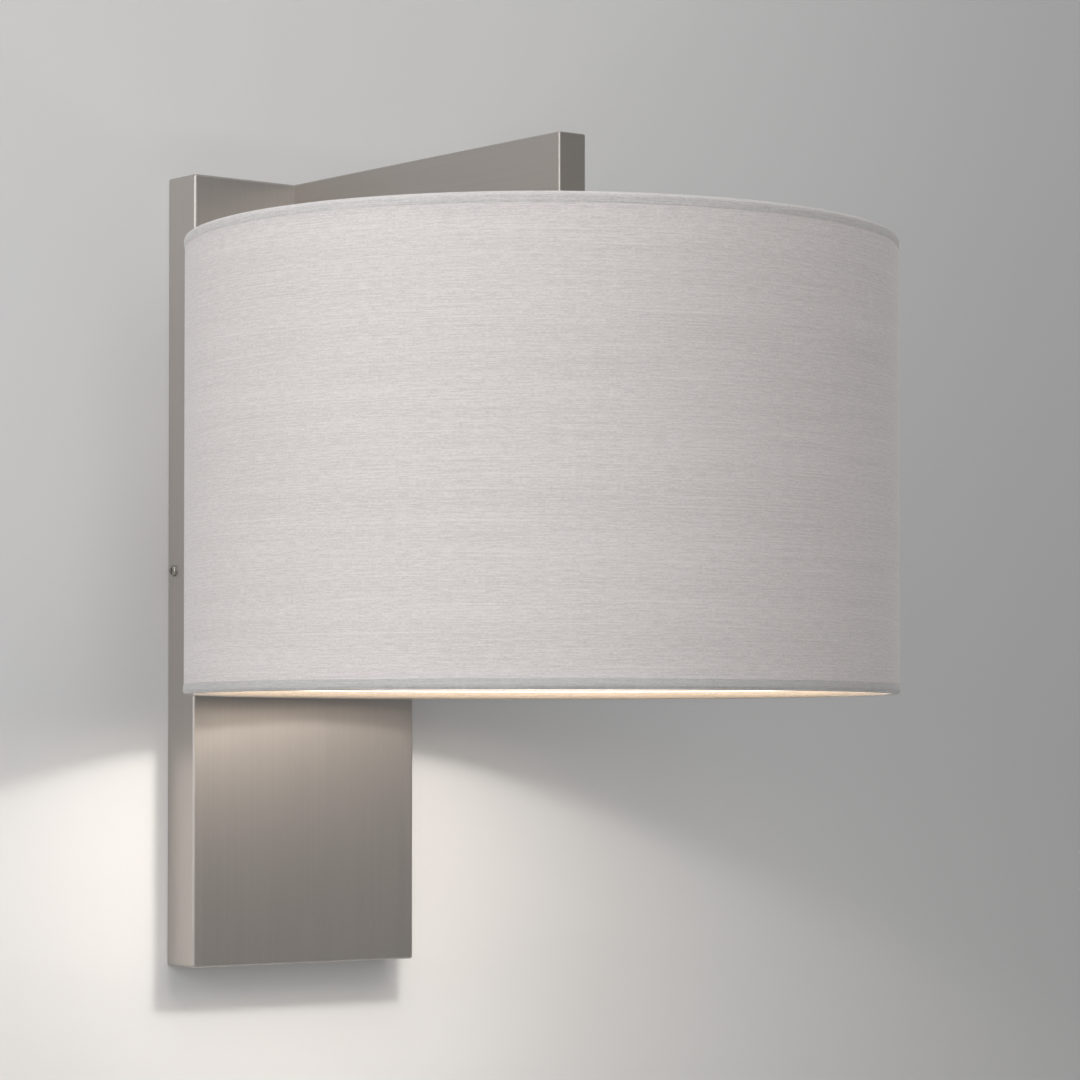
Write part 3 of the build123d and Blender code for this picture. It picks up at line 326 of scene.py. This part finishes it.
def noise_node(tree, place, per_metre, detail=noise_detail):
    """Noise at a place, with so many patches to the metre: one number, or one for each axis."""
    stretch = tree.nodes.new("ShaderNodeMapping")
    scale = (per_metre,) * 3 if isinstance(per_metre, float) else per_metre
    stretch.inputs["Scale"].default_value = scale
    pattern = tree.nodes.new("ShaderNodeTexNoise")
    pattern.inputs["Scale"].default_value = 1.0
    pattern.inputs["Detail"].default_value = detail
    tree.links.new(place, stretch.inputs["Vector"])
    tree.links.new(stretch.outputs["Vector"], pattern.inputs["Vector"])
    return pattern.outputs["Fac"]


def toned_colour(tree, value, colour, change):
    """A colour that goes from a little darker to a little lighter as a value goes from 0 to 1."""
    darker = [part * (1.0 - change) for part in colour]
    lighter = [min(1.0, part * (1.0 + change)) for part in colour]
    return colour_mix(tree, value, darker, lighter)


def varied_colour(tree, shader, pattern, colour, change):
    """Gives a shader a colour whose tone a pattern changes a little."""
    tone = range_node(tree, pattern, 0.0, 1.0)
    tree.links.new(toned_colour(tree, tone, colour, change), shader.inputs["Base Color"])


def varied_gloss(tree, shader, pattern, roughness, change, span=(noise_low, noise_high)):
    """Gives a shader a roughness that a pattern changes a little."""
    rough = range_node(tree, pattern, roughness - change, roughness + change, *span)
    tree.links.new(rough, shader.inputs["Roughness"])


def fine_relief(tree, shader, height, depth):
    """Gives a shader a relief so many metres deep."""
    bump = tree.nodes.new("ShaderNodeBump")
    bump.inputs["Strength"].default_value = relief_strength
    bump.inputs["Distance"].default_value = depth
    tree.links.new(height, bump.inputs["Height"])
    tree.links.new(bump.outputs["Normal"], shader.inputs["Normal"])


def brushed_metal(name, colour, roughness, grain, gloss_turn):
    """Metal with a fine grain; grain is how many streaks a metre has along X, Y and Z."""
    material, shader, tree = new_material(name)
    shader.inputs["Metallic"].default_value = 1.0
    shader.inputs["Anisotropic"].default_value = gloss_stretch
    shader.inputs["Anisotropic Rotation"].default_value = gloss_turn
    streaks = noise_node(tree, object_place(tree), grain, grain_detail)
    varied_colour(tree, shader, streaks, colour, grain_tone_change)
    varied_gloss(tree, shader, streaks, roughness, grain_gloss_change, grain_gloss_span)
    fine_relief(tree, shader, streaks, grain_relief)
    return material


def finish_nodes(material, *names):
    """Gives CAD nodes their finish."""
    for name in names:
        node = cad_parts[name]
        node.data.materials.clear()
        node.data.materials.append(material)


upright_nickel = brushed_metal(
    "satin_nickel_upright",
    nickel_colour,
    upright_roughness,
    (grain_fine, grain_fine, grain_long),
    gloss_turn_upright,
)
along_nickel = brushed_metal(
    "satin_nickel_along",
    nickel_colour,
    along_roughness,
    (grain_fine, grain_long, grain_fine),
    gloss_turn_along,
)
finish_nodes(upright_nickel, "back_plate", "stem_sleeve")
finish_nodes(along_nickel, "arm")

# ---------------------------------------------------------------- cover screws
# Small nickel-plated pan heads, one in each side of the back plate. They hold it to the
# ears of the bracket behind it.

# Clouds and tumbling marks to the metre, and what they change; a pale cloud is the smoother one
metal_clouds = 140.0
metal_cloud_detail = 3.0
metal_tone_change = 0.06
metal_gloss_change = -0.05
tumble_marks = 2600.0
tumble_relief = 0.000006


def plain_metal(name, colour, roughness):
    """Plated or turned metal: no grain to see, but cloudy in tone and gloss when close."""
    material, shader, tree = new_material(name)
    shader.inputs["Metallic"].default_value = 1.0
    place = object_place(tree)
    clouds = noise_node(tree, place, metal_clouds, metal_cloud_detail)
    varied_colour(tree, shader, clouds, colour, metal_tone_change)
    varied_gloss(tree, shader, clouds, roughness, metal_gloss_change)
    fine_relief(tree, shader, noise_node(tree, place, tumble_marks), tumble_relief)
    return material


screw_nickel = plain_metal("screw_nickel", colour=(0.40, 0.385, 0.36), roughness=0.30)
finish_nodes(screw_nickel, "cover_screws")

# ---------------------------------------------------------------- fixings behind the plate
# The bracket, the arm's stiffening plate, washers, nuts and clamp screws are zinc plated,
# the blocks are bare machined steel and the two arm screws are blackened.
bright_zinc = plain_metal("bright_zinc", colour=(0.66, 0.67, 0.68), roughness=0.36)
finish_nodes(
    bright_zinc,
    "wall_bracket",
    "arm_mounting_plate",
    "arm_washers",
    "stem",
    "stem_nut",
    "terminal_screws",
    "terminal_block_screws",
    "holder_terminal_screws",
)
machined_steel = plain_metal("machined_steel", colour=(0.45, 0.45, 0.46), roughness=0.42)
finish_nodes(machined_steel, "arm_root_block", "stem_thread_block")
black_oxide = plain_metal("black_oxide", colour=(0.05, 0.05, 0.055), roughness=0.45)
finish_nodes(black_oxide, "arm_screws")

# ---------------------------------------------------------------- terminal block and bushes
# A moulded nylon block of three poles with turned brass tunnels; grey nylon bushes keep the
# cable and the leads off the sheet's edges.

# Patches of flow and pores to the metre, and what they change
mould_flow = 60.0
mould_tone_change = 0.03
mould_gloss_change = 0.04
mould_pores = 2200.0
mould_relief = 0.00001


def moulding(name, colour, roughness, relief=mould_relief):
    """A moulded or coated surface, with the mould's fine pores and a slight flow in its tone."""
    material, shader, tree = new_material(name)
    place = object_place(tree)
    flow = noise_node(tree, place, mould_flow)
    varied_colour(tree, shader, flow, colour, mould_tone_change)
    varied_gloss(tree, shader, flow, roughness, mould_gloss_change)
    fine_relief(tree, shader, noise_node(tree, place, mould_pores), relief)
    return material


natural_nylon = moulding("natural_nylon", colour=(0.80, 0.79, 0.74), roughness=0.45)
finish_nodes(natural_nylon, "terminal_block")
grey_nylon = moulding("grey_nylon", colour=(0.28, 0.29, 0.30), roughness=0.55)
finish_nodes(grey_nylon, "cable_bush", "wire_bush")
turned_brass = plain_metal("turned_brass", colour=(0.80, 0.60, 0.30), roughness=0.3)
finish_nodes(
    turned_brass,
    "terminal_tunnels",
    "earth_studs",
    "earth_nuts",
    "holder_terminals",
    "holder_centre_contact",
)
tinned_copper = plain_metal("tinned_copper", colour=(0.72, 0.71, 0.68), roughness=0.3)
finish_nodes(tinned_copper, "earth_tags", "lamp_centre_contact")

# ---------------------------------------------------------------- leads
# Single cores in a smooth plastic sheath: brown live, blue neutral, and green with a yellow
# stripe for the two earth leads.
sheath_roughness = 0.4
sheath_green = (0.06, 0.34, 0.08)
sheath_yellow = (0.85, 0.72, 0.05)
green_share = 0.62
stripe_pitch = 0.0024

# Blender's wave runs through so many radians to the metre at a scale of 1
wave_radians = 20

brown_sheath = moulding("brown_sheath", (0.18, 0.07, 0.03), sheath_roughness)
finish_nodes(brown_sheath, "live_lead")
blue_sheath = moulding("blue_sheath", (0.03, 0.12, 0.45), sheath_roughness)
finish_nodes(blue_sheath, "neutral_lead")
earth_sheath, sheath_shader, sheath_tree = new_material("earth_sheath")
sheath_shader.inputs["Roughness"].default_value = sheath_roughness
stripes = sheath_tree.nodes.new("ShaderNodeTexWave")
stripes.bands_direction = "DIAGONAL"
stripes.inputs["Scale"].default_value = 2 * pi / (wave_radians * stripe_pitch)
stripe_ramp = sheath_tree.nodes.new("ShaderNodeValToRGB")
stripe_ramp.color_ramp.interpolation = "CONSTANT"
green_stop, yellow_stop = stripe_ramp.color_ramp.elements
green_stop.color = (*sheath_green, 1)
yellow_stop.color = (*sheath_yellow, 1)
yellow_stop.position = green_share
sheath_tree.links.new(object_place(sheath_tree), stripes.inputs["Vector"])
sheath_tree.links.new(stripes.outputs["Fac"], stripe_ramp.inputs["Fac"])
sheath_tree.links.new(stripe_ramp.outputs["Color"], sheath_shader.inputs["Base Color"])
finish_nodes(earth_sheath, "earth_lead", "earth_link")

# ---------------------------------------------------------------- lamp holder
# A moulded white thermoplastic holder: cap, body with a screwed skirt, ceramic insert and a
# pressed shell, with the ring that clamps the shade's fitter.
holder_white = moulding("holder_white", colour=(0.84, 0.84, 0.82), roughness=0.35)
finish_nodes(holder_white, "holder_cap", "holder_body", "shade_ring")
insert_ceramic = moulding("insert_ceramic", colour=(0.82, 0.80, 0.75), roughness=0.5)
finish_nodes(insert_ceramic, "holder_insert")
pressed_shell = plain_metal("pressed_shell", colour=(0.78, 0.78, 0.76), roughness=0.25)
finish_nodes(pressed_shell, "holder_screw_shell", "lamp_cap_shell")

# ---------------------------------------------------------------- lamp
# A globe lamp, lit: an opal globe on a flared white collar over a board of light-emitting
# diodes. Its light falls down onto the plate and the wall, and on the shade's lining.
globe_low, globe_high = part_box("lamp_globe")
globe_radius = (globe_high.x - globe_low.x) / 2
globe_middle = Vector((0.0, (globe_low.y + globe_high.y) / 2, globe_low.z + globe_radius))
lamp_warmth = (1.0, 0.935, 0.88)
glass_relief = 0.000003
globe_glow_top = 0.22
globe_glow_foot = 0.42

opal_globe = moulding(
    "opal_globe", colour=(0.86, 0.85, 0.82), roughness=0.3, relief=glass_relief
)
opal_tree = opal_globe.node_tree
globe_lit = range_node(
    opal_tree,
    one_axis(opal_tree, object_place(opal_tree), "Z"),
    globe_glow_top,
    globe_glow_foot,
    globe_high.z,
    globe_low.z,
)
opal_shader = opal_tree.nodes["Principled BSDF"]
opal_shader.inputs["Emission Color"].default_value = (*lamp_warmth, 1)
opal_tree.links.new(globe_lit, opal_shader.inputs["Emission Strength"])
finish_nodes(opal_globe, "lamp_globe")
lamp_plastic = moulding("lamp_plastic", colour=(0.86, 0.86, 0.85), roughness=0.4)
finish_nodes(lamp_plastic, "lamp_collar")
black_glass = moulding("black_glass", colour=(0.02, 0.02, 0.025), roughness=0.25)
finish_nodes(black_glass, "lamp_cap_insulator")
diode_board = moulding("diode_board", colour=(0.85, 0.85, 0.83), roughness=0.5)
finish_nodes(diode_board, "lamp_led_board")

# The globe's own glow is faint, for the eye and the mirrors. What lights the room are a disc
# that shines down and a ball that shines all round, both inside the globe, which throws no
# shadow of theirs. Their widths are shares of the globe's radius.
downward_watts = 0.52
downward_share = 1.6
downward_drop = 0.008
around_watts = 0.62
around_share = 0.8
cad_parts["lamp_globe"].visible_shadow = False
lamp_glow = new_light(
    "lamp_glow",
    "AREA",
    globe_middle - Vector((0.0, 0.0, downward_drop)),
    downward_watts,
    lamp_warmth,
)
lamp_glow.data.shape = "DISK"
lamp_glow.data.size = globe_radius * downward_share
lamp_glow.visible_camera = False
lamp_glow_around = new_light(
    "lamp_glow_around", "POINT", globe_middle, around_watts, lamp_warmth
)
lamp_glow_around.data.shadow_soft_size = globe_radius * around_share

# A broad warm disc under the globe stands for the light that the lining sends to and fro
spill_tint = (1.0, 0.90, 0.80)
spill_watts = 0.42
spill_width = 0.24
spill_drop = 0.012
lining_spill = new_light(
    "lining_spill",
    "AREA",
    (0.0, globe_middle.y, globe_low.z - spill_drop),
    spill_watts,
    spill_tint,
)
lining_spill.data.shape = "DISK"
lining_spill.data.size = spill_width
lining_spill.visible_camera = False

# ---------------------------------------------------------------- shade frame and lining
# Steel wire hoops and spokes welded to a fitter washer, powder coated white, and a lining of
# off-white styrene sheet, lapped at an upright seam that faces the wall.
wire_coat = moulding("white_powder_coat", colour=(0.84, 0.84, 0.82), roughness=0.45)
finish_nodes(wire_coat, "shade_top_hoop", "shade_bottom_hoop", "shade_spokes", "shade_fitter")
lining_sheet = moulding("lining_white", colour=(0.64, 0.585, 0.51), roughness=0.5)
finish_nodes(lining_sheet, "shade_lining", "shade_seam")

# ---------------------------------------------------------------- shade cloth
# A silky plain-weave cloth laid on the lining, thicker threads running round the drum here
# and there, its ends lapped in a narrow fold over the lining's seam.
fabric_low, fabric_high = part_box("shade_fabric")
axis_y = (fabric_low.y + fabric_high.y) / 2
cloth_radius = (fabric_high.x - fabric_low.x) / 2
cloth_thickness = 0.0005
cloth_rows = 12
round_steps = 360
cloth_colour = (0.64, 0.61, 0.60)
slub_pale = (0.76, 0.73, 0.72)
cloth_roughness = 0.62
cloth_gloss = 0.35
sheen = 0.25
sheen_roughness = 0.4

# The cloth's ends meet at this angle, which faces the wall
lap_angle = radians(86.0)

# The lamp's light comes through the cloth as a faint glow of this colour
lamp_tint = (1.0, 0.80, 0.74)
silk_glow = 0.05

# Each kind of thread: its patches to the metre round the drum and up it, and its share
weft_threads = (20.0, 1700.0)
weft_share = 0.5
knot_threads = (160.0, 1500.0)
knot_detail = 1.0
knot_share = 0.6
warp_threads = (650.0, 1900.0)
warp_share = 0.7
dye_bands = (3.0, 90.0)
dye_share = 0.25
slub_threads = (14.0, 700.0)
slub_detail = 0.0
slub_relief_share = 0.8
silk_slubs = 0.35

# Slubs begin and are full at these values of their own pattern
slub_from = 0.68
slub_full = 0.80

# The tone goes from dark to pale between these sums of the other patterns
tone_from = 0.72
tone_full = 1.32
weave_tone_change = 0.13
weave_relief = 0.00007

merge_distance = 1e-7
sharp_angle = radians(35.0)


def turned_piece(outline, steps, start, turn=2 * pi):
    """A closed outline of (radius, height) points turned about the lamp's axis, ends closed."""
    bm = bmesh.new()
    ring = [
        bm.verts.new((radius * cos(start), axis_y + radius * sin(start), height))
        for radius, height in outline
    ]
    edges = [bm.edges.new(pair) for pair in zip(ring, ring[1:] + ring[:1])]
    bmesh.ops.spin(
        bm,
        geom=ring + edges,
        cent=(0.0, axis_y, 0.0),
        axis=(0.0, 0.0, 1.0),
        angle=turn,
        steps=steps,
        use_merge=turn == 2 * pi,
    )
    bmesh.ops.remove_doubles(bm, verts=bm.verts, dist=merge_distance)
    bmesh.ops.holes_fill(bm, edges=[edge for edge in bm.edges if edge.is_boundary])
    bmesh.ops.recalc_face_normals(bm, faces=bm.faces)
    return bm


def wrap_cloth(bm, start):
    """Lays a UV map on a turned piece: metres round the drum and metres up the section."""
    lengths = bm.loops.layers.uv.new("thread_run")
    for face in bm.faces:
        centre = face.calc_center_median()
        face_angle = (atan2(centre.y - axis_y, centre.x) - start) % (2 * pi)
        for loop in face.loops:
            at = loop.vert.co
            turn = (atan2(at.y - axis_y, at.x) - start) % (2 * pi)
            if turn - face_angle > pi:
                turn -= 2 * pi
            elif face_angle - turn > pi:
                turn += 2 * pi
            inset = cloth_radius - sqrt(at.x**2 + (at.y - axis_y) ** 2)
            loop[lengths].uv = (turn * cloth_radius, at.z + inset)


def shown_piece(name, bm, material, body, slot, *nodes):
    """Makes the finished mesh an object that rides on a body and stands for its CAD nodes."""
    for face in bm.faces:
        face.smooth = True
    for edge in bm.edges:
        edge.smooth = edge.calc_face_angle(0.0) < sharp_angle
    mesh = bpy.data.meshes.new(name)
    bm.to_mesh(mesh)
    bm.free()
    mesh.materials.append(material)
    piece = new_object(name, mesh)
    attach(piece, body)
    if nodes:
        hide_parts(*nodes)
    return piece


def woven_cloth(name, colour, slub_amount, glow):
    """Plain weave on the thread_run map, with thick threads that come and go round the drum."""
    material, shader, tree = new_material(name)
    shader.inputs["Roughness"].default_value = cloth_roughness
    shader.inputs["Specular IOR Level"].default_value = cloth_gloss
    shader.inputs["Sheen Weight"].default_value = sheen
    shader.inputs["Sheen Roughness"].default_value = sheen_roughness
    # Painted light: a faint emitted glow stands for the lamp's light that comes through the cloth
    shader.inputs["Emission Color"].default_value = (*lamp_tint, 1)
    shader.inputs["Emission Strength"].default_value = glow
    run = tree.nodes.new("ShaderNodeUVMap")
    run.uv_map = "thread_run"

    def threads(per_metre, detail=noise_detail):
        return noise_node(tree, run.outputs["UV"], (*per_metre, 1.0), detail)

    def share(value, part):
        return math_node(tree, "MULTIPLY", value, part)

    def both(first, second):
        return math_node(tree, "ADD", first, second)

    weft = share(threads(weft_threads), weft_share)
    knots = share(threads(knot_threads, knot_detail), knot_share)
    warp = share(threads(warp_threads), warp_share)
    weave = both(both(weft, knots), warp)
    dyed = both(weave, share(threads(dye_bands), dye_share))
    tone = range_node(tree, dyed, 0.0, 1.0, tone_from, tone_full)
    slub_pattern = threads(slub_threads, slub_detail)
    slubs = range_node(tree, slub_pattern, 0.0, 1.0, slub_from, slub_full)
    woven = toned_colour(tree, tone, colour, weave_tone_change)
    slubbed = colour_mix(tree, share(slubs, slub_amount), woven, slub_pale)
    tree.links.new(slubbed, shader.inputs["Base Color"])
    fine_relief(tree, shader, both(weave, share(slubs, slub_relief_share)), weave_relief)
    return material


silk = woven_cloth("silky_cloth", cloth_colour, silk_slubs, silk_glow)
fabric_height = fabric_high.z - fabric_low.z
row_heights = [
    fabric_low.z + fabric_height * row / cloth_rows for row in range(cloth_rows + 1)
]
cloth_mesh = turned_piece(
    [(cloth_radius, height) for height in row_heights]
    + [(cloth_radius - cloth_thickness, height) for height in reversed(row_heights)],
    round_steps,
    lap_angle,
)
wrap_cloth(cloth_mesh, lap_angle)
drum_cloth = shown_piece("drum_cloth", cloth_mesh, silk, "shade", "shade_cloth", "shade_fabric")

lap_width = 0.012
lap_thickness = 0.00025
lap_clearance = 0.00002
lap_end = 0.0052
lap_steps = 6
lap_low = fabric_low.z + lap_end
lap_high = fabric_high.z - lap_end
lap_turn = lap_width / cloth_radius
lap_mesh = turned_piece(
    [
        (cloth_radius + lap_clearance, lap_low),
        (cloth_radius + lap_thickness, lap_low),
        (cloth_radius + lap_thickness, lap_high),
        (cloth_radius + lap_clearance, lap_high),
    ],
    lap_steps,
    lap_angle - lap_turn / 2,
    turn=lap_turn,
)
wrap_cloth(lap_mesh, lap_angle + pi)
cloth_lap = shown_piece("cloth_lap", lap_mesh, silk, "shade", "shade_cloth")

# ---------------------------------------------------------------- rolled hems
# A strip of the same cloth at each rim, rolled over the hoop's wire and tucked in behind it
# against the lining; its raw edge on the outside is turned under.
hem_low, hem_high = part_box("shade_hem_top")
drum_radius = (hem_high.x - hem_low.x) / 2
wire_low, wire_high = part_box("shade_top_hoop")
wire_radius = (wire_high.z - wire_low.z) / 2
wire_ring = (wire_high.x - wire_low.x) / 2 - wire_radius
lining_low, lining_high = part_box("shade_lining")
lining_thickness = 0.0004
lining_inside = (lining_high.x - lining_low.x) / 2 - lining_thickness
top_hem_colour = (0.61, 0.594, 0.585)
# Painted shade: the bottom hem's colour is the top one's darkened, since the bottom hem faces
# down and less light falls on it
bottom_hem_shaded_colour = (0.505, 0.50, 0.495)
# Painted light: the hem's inner side is the cloth's colour darkened and tinted with the lamp's
# warm light
hem_inside_painted_light_colour = (0.42, 0.35, 0.275)
hem_slubs = 0.1
no_slubs = 0.0
# Painted light: the lamp's light through the hems, as a faint glow
hem_glow = 0.02

# The strip reaches this far from the rim outside and inside, and clears the wire and the
# lining by the gap. Its outer edge thins to the edge's thickness over the taper.
hem_thickness = 0.00035
hem_outside = 0.0045
hem_inside = 0.009
hem_gap = 0.00005
hem_edge = 0.00006
hem_taper = 0.0022

# It bends at the rim's outer corner and round the wire, drawn in steps of so many degrees
rim_bend = 0.0016
rim_bend_angles = (15, 90)
wire_bend_angles = (105, 210)
bend_step = 15


def hem_bend(middle, radius, angles):
    """A bend's (radius, depth) points round its middle, between two angles in degrees.

    At 0 it is on the outside and at 90 it is at the rim.
    """
    first, last = angles
    return [
        (middle[0] + radius * cos(radians(angle)), middle[1] - radius * sin(radians(angle)))
        for angle in range(first, last + 1, bend_step)
    ]


def hem_outline(rim, inward):
    """Section of a hem: up the outside, over the wire, down behind it and the same way back.

    rim is the rim's height, and inward is -1 at the top and 1 at the bottom. skin and bore are
    the strip's outer and inner faces, as seen from the wire's middle.
    """
    skin = wire_radius + hem_gap + hem_thickness
    bore = skin - hem_thickness
    wire = (wire_ring, skin)
    corner = (drum_radius - rim_bend, rim_bend)
    tuck = lining_inside - hem_gap
    outer = [
        (drum_radius - hem_thickness + hem_edge, hem_outside),
        (drum_radius, hem_outside - hem_taper),
        (drum_radius, rim_bend),
        *hem_bend(corner, rim_bend, rim_bend_angles),
        *hem_bend(wire, skin, wire_bend_angles),
        (tuck - hem_thickness, skin + skin),
        (tuck - hem_thickness, hem_inside),
    ]
    inner = [
        (tuck, hem_inside),
        (tuck, skin + bore),
        *reversed(hem_bend(wire, bore, wire_bend_angles)),
        *reversed(hem_bend(corner, rim_bend - hem_thickness, rim_bend_angles)),
        (drum_radius - hem_thickness, rim_bend),
        (drum_radius - hem_thickness, hem_outside),
    ]
    return [(radius, rim + inward * depth) for radius, depth in outer + inner]


def hem_length(outline):
    """Half the way round the section, which is the strip's own width."""
    steps = zip(outline, outline[1:] + outline[:1])
    return sum((Vector(a) - Vector(b)).length for a, b in steps) / 2


# The side that faces the lamp, from the wire's middle inwards, is the same cloth with painted
# light: darker, and tinted with the lamp's warm light
inside_cloth = woven_cloth("hem_cloth_inside", hem_inside_painted_light_colour, no_slubs, hem_glow)
for name, inward, node, hoop, colour in (
    ("top_hem", -1, "shade_hem_top", "shade_top_hoop", top_hem_colour),
    ("bottom_hem", 1, "shade_hem_bottom", "shade_bottom_hoop", bottom_hem_shaded_colour),
):
    low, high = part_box(node)
    section = hem_outline(high.z if inward < 0 else low.z, inward)
    hem_mesh = turned_piece(section, round_steps, lap_angle)
    wrap_cloth(hem_mesh, lap_angle)
    for face in hem_mesh.faces:
        centre = face.calc_center_median()
        face.material_index = int((centre.xy - Vector((0.0, axis_y))).length < wire_ring)
    hem_cloth = woven_cloth(name + "_cloth", colour, hem_slubs, hem_glow)
    hem = shown_piece(name, hem_mesh, hem_cloth, "shade", "hem_cloth", node)
    hem.data.materials.append(inside_cloth)
    hem_length(section)
